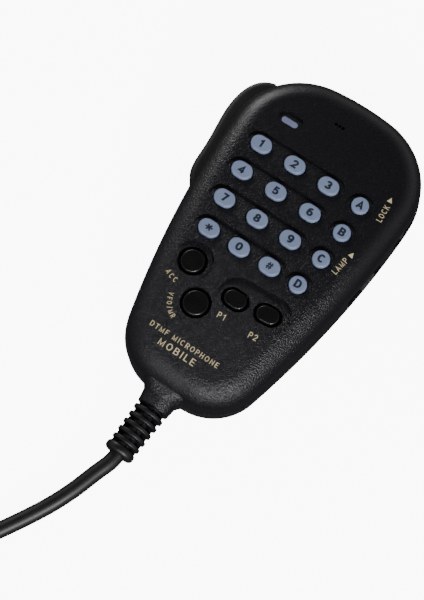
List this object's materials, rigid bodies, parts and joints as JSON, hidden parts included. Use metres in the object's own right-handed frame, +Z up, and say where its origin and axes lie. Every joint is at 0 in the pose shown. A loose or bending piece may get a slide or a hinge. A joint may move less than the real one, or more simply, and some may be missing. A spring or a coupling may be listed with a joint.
{
  "type": "hand microphone",
  "caption": "Radio hand microphone with keypad, push-to-talk lever, side slide switches, top buttons, hanger stud and a curly cord ending in a modular plug.",
  "frame": {"origin": "middle of the microphone's bounding box on the surface it lies on, cord and plug left out", "axes": "+X right across the keypad, +Y along the microphone towards its top end, +Z up, out of the keypad face"},
  "size_m": [0.083, 0.263, 0.0318],
  "materials": {
    "case_black": "sand-grained moulded ABS",
    "lever_black": "fine matt moulded",
    "button_black": "polished",
    "key_blue_grey": "translucent moulded key with printed legend",
    "lens": "frosted light guide",
    "rubber_black": "matt",
    "rubber_grey": "silicone",
    "contact_gold": "gold plated",
    "carbon": "carbon print",
    "board_green": "solder mask",
    "chip_black": "moulded epoxy",
    "can_steel": "drawn can",
    "screw_steel": "zinc plated",
    "stud_metal": "nickel plated, turned",
    "label_silver": "blank printed foil",
    "knob_grey": "moulded",
    "spring_steel": "drawn wire",
    "led_white": "moulded",
    "plug_clear": "polycarbonate",
    "wire_mixed": "vinyl insulation",
    "connector_white": "nylon"
  },
  "bodies": {
    "case": {"front_case": "case_black", "rear_case": "case_black", "label_plate": "label_silver", "case_screws": "screw_steel", "hanger_stud": "stud_metal", "hanger_screw": "screw_steel", "hanger_nut": "screw_steel", "main_board": "board_green", "keypad_mat": "rubber_grey", "key_contacts": "carbon", "backlight_leds": "led_white", "board_screws": "screw_steel", "encoder_chip": "chip_black", "crystal": "can_steel", "board_parts": "chip_black", "indicator_lens": "lens", "indicator_led": "led_white", "mic_capsule": "can_steel", "mic_boot": "rubber_black", "top_switches": "chip_black", "slide_switches": "can_steel", "ptt_pin": "screw_steel", "ptt_switch": "chip_black", "strain_relief": "rubber_black", "cord_inner": "rubber_black", "cord_wires": "wire_mixed", "cord_connector": "connector_white", "cord_lead": "rubber_black", "cord_curl": "rubber_black", "cord_tail": "rubber_black", "plug_body": "plug_clear", "plug_contacts": "contact_gold"},
    "key_1": {"key_1": "key_blue_grey"},
    "key_2": {"key_2": "key_blue_grey"},
    "key_3": {"key_3": "key_blue_grey"},
    "key_a": {"key_a": "key_blue_grey"},
    "key_4": {"key_4": "key_blue_grey"},
    "key_5": {"key_5": "key_blue_grey"},
    "key_6": {"key_6": "key_blue_grey"},
    "key_b": {"key_b": "key_blue_grey"},
    "key_7": {"key_7": "key_blue_grey"},
    "key_8": {"key_8": "key_blue_grey"},
    "key_9": {"key_9": "key_blue_grey"},
    "key_c": {"key_c": "key_blue_grey"},
    "key_star": {"key_star": "key_blue_grey"},
    "key_0": {"key_0": "key_blue_grey"},
    "key_hash": {"key_hash": "key_blue_grey"},
    "key_d": {"key_d": "key_blue_grey"},
    "key_acc": {"key_acc": "button_black"},
    "key_vm": {"key_vm": "button_black"},
    "key_p1": {"key_p1": "button_black"},
    "key_p2": {"key_p2": "button_black"},
    "button_up": {"button_up": "button_black"},
    "button_down": {"button_down": "button_black"},
    "lock_knob": {"lock_knob": "knob_grey"},
    "lamp_knob": {"lamp_knob": "knob_grey"},
    "ptt": {"ptt_lever": "lever_black", "ptt_spring": "spring_steel"},
    "ptt_plunger": {"ptt_plunger": "button_black"},
    "plug_latch": {"plug_latch": "plug_clear"}
  },
  "joints": [
    {"name": "press_1", "type": "slide", "parent": "case", "child": "key_1", "axis": [0, 0.1157, -0.9933], "range_m": [0, 0.0008], "stiffness_N_per_m": 500, "springref_m": -0.0006},
    {"name": "press_2", "type": "slide", "parent": "case", "child": "key_2", "axis": [0, 0.1157, -0.9933], "range_m": [0, 0.0008], "stiffness_N_per_m": 500, "springref_m": -0.0006},
    {"name": "press_3", "type": "slide", "parent": "case", "child": "key_3", "axis": [0, 0.1157, -0.9933], "range_m": [0, 0.0008], "stiffness_N_per_m": 500, "springref_m": -0.0006},
    {"name": "press_a", "type": "slide", "parent": "case", "child": "key_a", "axis": [0, 0.1157, -0.9933], "range_m": [0, 0.0008], "stiffness_N_per_m": 500, "springref_m": -0.0006},
    {"name": "press_4", "type": "slide", "parent": "case", "child": "key_4", "axis": [0, 0.1157, -0.9933], "range_m": [0, 0.0008], "stiffness_N_per_m": 500, "springref_m": -0.0006},
    {"name": "press_5", "type": "slide", "parent": "case", "child": "key_5", "axis": [0, 0.1157, -0.9933], "range_m": [0, 0.0008], "stiffness_N_per_m": 500, "springref_m": -0.0006},
    {"name": "press_6", "type": "slide", "parent": "case", "child": "key_6", "axis": [0, 0.1157, -0.9933], "range_m": [0, 0.0008], "stiffness_N_per_m": 500, "springref_m": -0.0006},
    {"name": "press_b", "type": "slide", "parent": "case", "child": "key_b", "axis": [0, 0.1157, -0.9933], "range_m": [0, 0.0008], "stiffness_N_per_m": 500, "springref_m": -0.0006},
    {"name": "press_7", "type": "slide", "parent": "case", "child": "key_7", "axis": [0, 0.1157, -0.9933], "range_m": [0, 0.0008], "stiffness_N_per_m": 500, "springref_m": -0.0006},
    {"name": "press_8", "type": "slide", "parent": "case", "child": "key_8", "axis": [0, 0.1157, -0.9933], "range_m": [0, 0.0008], "stiffness_N_per_m": 500, "springref_m": -0.0006},
    {"name": "press_9", "type": "slide", "parent": "case", "child": "key_9", "axis": [0, 0.1157, -0.9933], "range_m": [0, 0.0008], "stiffness_N_per_m": 500, "springref_m": -0.0006},
    {"name": "press_c", "type": "slide", "parent": "case", "child": "key_c", "axis": [0, 0.1157, -0.9933], "range_m": [0, 0.0008], "stiffness_N_per_m": 500, "springref_m": -0.0006},
    {"name": "press_star", "type": "slide", "parent": "case", "child": "key_star", "axis": [0, 0.1157, -0.9933], "range_m": [0, 0.0008], "stiffness_N_per_m": 500, "springref_m": -0.0006},
    {"name": "press_0", "type": "slide", "parent": "case", "child": "key_0", "axis": [0, 0.1157, -0.9933], "range_m": [0, 0.0008], "stiffness_N_per_m": 500, "springref_m": -0.0006},
    {"name": "press_hash", "type": "slide", "parent": "case", "child": "key_hash", "axis": [0, 0.1157, -0.9933], "range_m": [0, 0.0008], "stiffness_N_per_m": 500, "springref_m": -0.0006},
    {"name": "press_d", "type": "slide", "parent": "case", "child": "key_d", "axis": [0, 0.1157, -0.9933], "range_m": [0, 0.0008], "stiffness_N_per_m": 500, "springref_m": -0.0006},
    {"name": "press_acc", "type": "slide", "parent": "case", "child": "key_acc", "axis": [0, 0.1157, -0.9933], "range_m": [0, 0.0008], "stiffness_N_per_m": 500, "springref_m": -0.0006},
    {"name": "press_vm", "type": "slide", "parent": "case", "child": "key_vm", "axis": [0, 0.1157, -0.9933], "range_m": [0, 0.0008], "stiffness_N_per_m": 500, "springref_m": -0.0006},
    {"name": "press_p1", "type": "slide", "parent": "case", "child": "key_p1", "axis": [0, 0.1157, -0.9933], "range_m": [0, 0.0008], "stiffness_N_per_m": 500, "springref_m": -0.0006},
    {"name": "press_p2", "type": "slide", "parent": "case", "child": "key_p2", "axis": [0, 0.1157, -0.9933], "range_m": [0, 0.0008], "stiffness_N_per_m": 500, "springref_m": -0.0006},
    {"name": "press_up", "type": "slide", "parent": "case", "child": "button_up", "axis": [0, -0.9933, -0.1157], "range_m": [0, 0.0005], "stiffness_N_per_m": 700, "springref_m": -0.0006},
    {"name": "press_down", "type": "slide", "parent": "case", "child": "button_down", "axis": [0, -0.9933, -0.1157], "range_m": [0, 0.0005], "stiffness_N_per_m": 700, "springref_m": -0.0006},
    {"name": "lock_slide", "type": "slide", "parent": "case", "child": "lock_knob", "axis": [-0.1115, 0.9871, 0.115], "range_m": [0, 0.003]},
    {"name": "lamp_slide", "type": "slide", "parent": "case", "child": "lamp_knob", "axis": [0.1045, 0.9878, 0.1151], "range_m": [-0.003, 0]},
    {"name": "ptt_press", "type": "hinge", "parent": "case", "child": "ptt", "pos_m": [-0.02402, 0.0147, 0.01651], "axis": [0, 0.1157, -0.9933], "range_deg": [0, 3.6], "stiffness_Nm_per_rad": 0.5, "springref_deg": -3.44},
    {"name": "ptt_plunger_slide", "type": "slide", "parent": "case", "child": "ptt_plunger", "axis": [1, 0, 0], "range_m": [0, 0.000686]},
    {"name": "latch_press", "type": "hinge", "parent": "case", "child": "plug_latch", "pos_m": [0.00837, -0.17262, 0.0056], "axis": [-0.1155, -0.9933, 0], "range_deg": [0, 6], "stiffness_Nm_per_rad": 0.05, "springref_deg": -1.15}
  ],
  "couplings": [
    {"joint": "ptt_plunger_slide", "follows": "ptt_press", "m_per_rad": 0.0106}
  ]
}
